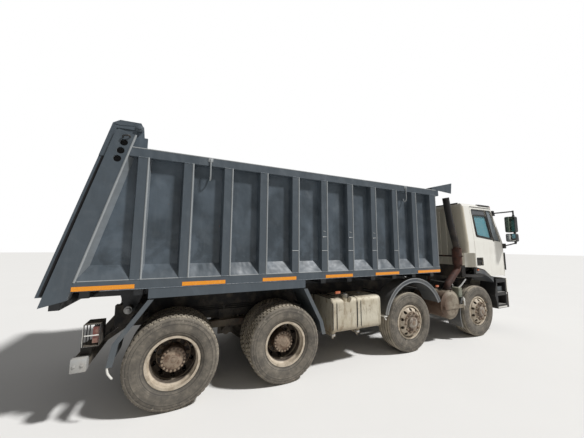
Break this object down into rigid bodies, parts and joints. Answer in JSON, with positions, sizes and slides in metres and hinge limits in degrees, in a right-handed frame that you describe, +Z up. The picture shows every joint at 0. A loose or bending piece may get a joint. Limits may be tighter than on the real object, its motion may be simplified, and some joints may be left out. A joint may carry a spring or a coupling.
{
  "type": "four-axle dump truck",
  "caption": "Four-axle dump truck with a rear-hinged steel tipping bed, top-hung tailgate, tilting day cab, steered front axles and twin-tyred drive axles.",
  "frame": {"origin": "on the ground, in the middle of the truck's length and width", "axes": "+X forward, +Y to the driver's left, +Z up"},
  "size_m": [8.4824, 2.98, 3.356],
  "materials": {
    "frame_steel": "dusty chassis paint",
    "spring_steel": "dull spring steel",
    "powertrain_iron": "cast iron",
    "bed_paint": "worn dark slate paint",
    "amber": "amber reflector",
    "cab_paint": "cream paint with road dust",
    "glazing": "clear",
    "black_plastic": "grained",
    "seat_fabric": "woven",
    "tank_alloy": "dirty",
    "exhaust_steel": "heat stained",
    "hoist_steel": "ground",
    "lamp_lens": "lens",
    "tyre_rubber": "dusty rubber",
    "rim_paint": "dirty rim paint"
  },
  "bodies": {
    "chassis": {"chassis_frame": "frame_steel", "tipping_subframe": "frame_steel", "powertrain": "powertrain_iron", "front_axles": "frame_steel", "drive_axles": "frame_steel", "springs": "spring_steel", "fuel_tank": "tank_alloy", "silencer": "exhaust_steel", "exhaust_stack": "exhaust_steel", "battery_box": "black_plastic", "fenders": "black_plastic", "tandem_mudguards": "bed_paint", "underrun_bar": "frame_steel", "front_bumper": "cab_paint", "lamps": "lamp_lens", "entry_steps": "black_plastic"},
    "cab": {"cab_floor": "cab_paint", "cab_rear_wall": "cab_paint", "cab_roof": "cab_paint", "cab_sides": "cab_paint", "cab_front_panel": "cab_paint", "windscreen": "glazing", "cab_arches": "black_plastic", "seats": "seat_fabric", "dashboard": "black_plastic", "mirrors": "black_plastic"},
    "left_door": {"door_left": "cab_paint", "door_glass_left": "glazing"},
    "right_door": {"door_right": "cab_paint", "door_glass_right": "glazing"},
    "bed": {"bed_floor": "bed_paint", "bed_side_left": "bed_paint", "bed_side_right": "bed_paint", "bed_front_wall": "bed_paint", "cab_shield": "bed_paint", "side_reflectors": "amber"},
    "gate": {"tailgate": "bed_paint"},
    "hoist_outer": {"hoist_barrel": "hoist_steel"},
    "hoist_middle": {"hoist_stage_1": "hoist_steel"},
    "hoist_rod": {"hoist_stage_2": "hoist_steel"},
    "steer_1_left": {"knuckle_1_left": "frame_steel"},
    "wheel_1_left": {"tyre_1_left": "tyre_rubber", "rim_1_left": "rim_paint"},
    "steer_1_right": {"knuckle_1_right": "frame_steel"},
    "wheel_1_right": {"tyre_1_right": "tyre_rubber", "rim_1_right": "rim_paint"},
    "steer_2_left": {"knuckle_2_left": "frame_steel"},
    "wheel_2_left": {"tyre_2_left": "tyre_rubber", "rim_2_left": "rim_paint"},
    "steer_2_right": {"knuckle_2_right": "frame_steel"},
    "wheel_2_right": {"tyre_2_right": "tyre_rubber", "rim_2_right": "rim_paint"},
    "wheel_3_left": {"tyres_3_left": "tyre_rubber", "rims_3_left": "rim_paint"},
    "wheel_3_right": {"tyres_3_right": "tyre_rubber", "rims_3_right": "rim_paint"},
    "wheel_4_left": {"tyres_4_left": "tyre_rubber", "rims_4_left": "rim_paint"},
    "wheel_4_right": {"tyres_4_right": "tyre_rubber", "rims_4_right": "rim_paint"}
  },
  "joints": [
    {"name": "bed_tip", "type": "hinge", "parent": "chassis", "child": "bed", "pos_m": [-3.5188, 0, 1.05], "axis": [0, -1, 0], "range_deg": [0, 45]},
    {"name": "tailgate_swing", "type": "hinge", "parent": "bed", "child": "gate", "pos_m": [-3.4588, 0, 3.29], "axis": [0, 1, 0], "range_deg": [0, 60]},
    {"name": "cab_tilt", "type": "hinge", "parent": "chassis", "child": "cab", "pos_m": [4.1362, 0, 1.11], "axis": [0, 1, 0], "range_deg": [0, 50]},
    {"name": "left_door_swing", "type": "hinge", "parent": "cab", "child": "left_door", "pos_m": [4.0452, 1.224, 1.9], "axis": [0, 0, -1], "range_deg": [0, 65]},
    {"name": "right_door_swing", "type": "hinge", "parent": "cab", "child": "right_door", "pos_m": [4.0452, -1.224, 1.9], "axis": [0, 0, 1], "range_deg": [0, 65]},
    {"name": "hoist_swing", "type": "hinge", "parent": "chassis", "child": "hoist_outer", "pos_m": [-1.4488, 0, 0.93], "axis": [0, -1, 0], "range_deg": [0, 72.49]},
    {"name": "hoist_slide_1", "type": "slide", "parent": "hoist_outer", "child": "hoist_middle", "axis": [0.9638, 0, 0.2666], "range_m": [0, 0.6694]},
    {"name": "hoist_slide_2", "type": "slide", "parent": "hoist_middle", "child": "hoist_rod", "axis": [0.9638, 0, 0.2666], "range_m": [0, 0.6694]},
    {"name": "steering_1_left", "type": "hinge", "parent": "chassis", "child": "steer_1_left", "pos_m": [3.0362, 0.85, 0.525], "axis": [0, 0, 1], "range_deg": [-35, 35]},
    {"name": "roll_1_left", "type": "hinge", "parent": "steer_1_left", "child": "wheel_1_left", "pos_m": [3.0362, 1.03, 0.525], "axis": [0, 1, 0], "continuous": true},
    {"name": "steering_1_right", "type": "hinge", "parent": "chassis", "child": "steer_1_right", "pos_m": [3.0362, -0.85, 0.525], "axis": [0, 0, 1], "range_deg": [-35, 35]},
    {"name": "roll_1_right", "type": "hinge", "parent": "steer_1_right", "child": "wheel_1_right", "pos_m": [3.0362, -1.03, 0.525], "axis": [0, 1, 0], "continuous": true},
    {"name": "steering_2_left", "type": "hinge", "parent": "chassis", "child": "steer_2_left", "pos_m": [0.9732, 0.85, 0.525], "axis": [0, 0, 1], "range_deg": [-21.35, 21.35]},
    {"name": "roll_2_left", "type": "hinge", "parent": "steer_2_left", "child": "wheel_2_left", "pos_m": [0.9732, 1.03, 0.525], "axis": [0, 1, 0], "continuous": true},
    {"name": "steering_2_right", "type": "hinge", "parent": "chassis", "child": "steer_2_right", "pos_m": [0.9732, -0.85, 0.525], "axis": [0, 0, 1], "range_deg": [-21.35, 21.35]},
    {"name": "roll_2_right", "type": "hinge", "parent": "steer_2_right", "child": "wheel_2_right", "pos_m": [0.9732, -1.03, 0.525], "axis": [0, 1, 0], "continuous": true},
    {"name": "roll_3_left", "type": "hinge", "parent": "chassis", "child": "wheel_3_left", "pos_m": [-1.5178, 0.915, 0.525], "axis": [0, 1, 0], "continuous": true},
    {"name": "roll_3_right", "type": "hinge", "parent": "chassis", "child": "wheel_3_right", "pos_m": [-1.5178, -0.915, 0.525], "axis": [0, 1, 0], "continuous": true},
    {"name": "roll_4_left", "type": "hinge", "parent": "chassis", "child": "wheel_4_left", "pos_m": [-2.9488, 0.915, 0.525], "axis": [0, 1, 0], "continuous": true},
    {"name": "roll_4_right", "type": "hinge", "parent": "chassis", "child": "wheel_4_right", "pos_m": [-2.9488, -0.915, 0.525], "axis": [0, 1, 0], "continuous": true}
  ],
  "couplings": [
    {"joint": "hoist_swing", "follows": "bed_tip", "ratio": 1.6108},
    {"joint": "hoist_slide_1", "follows": "bed_tip", "m_per_rad": 0.85225},
    {"joint": "hoist_slide_2", "follows": "bed_tip", "m_per_rad": 0.85225},
    {"joint": "steering_1_right", "follows": "steering_1_left", "ratio": 1},
    {"joint": "steering_2_left", "follows": "steering_1_left", "ratio": 0.61},
    {"joint": "steering_2_right", "follows": "steering_1_left", "ratio": 0.61}
  ]
}
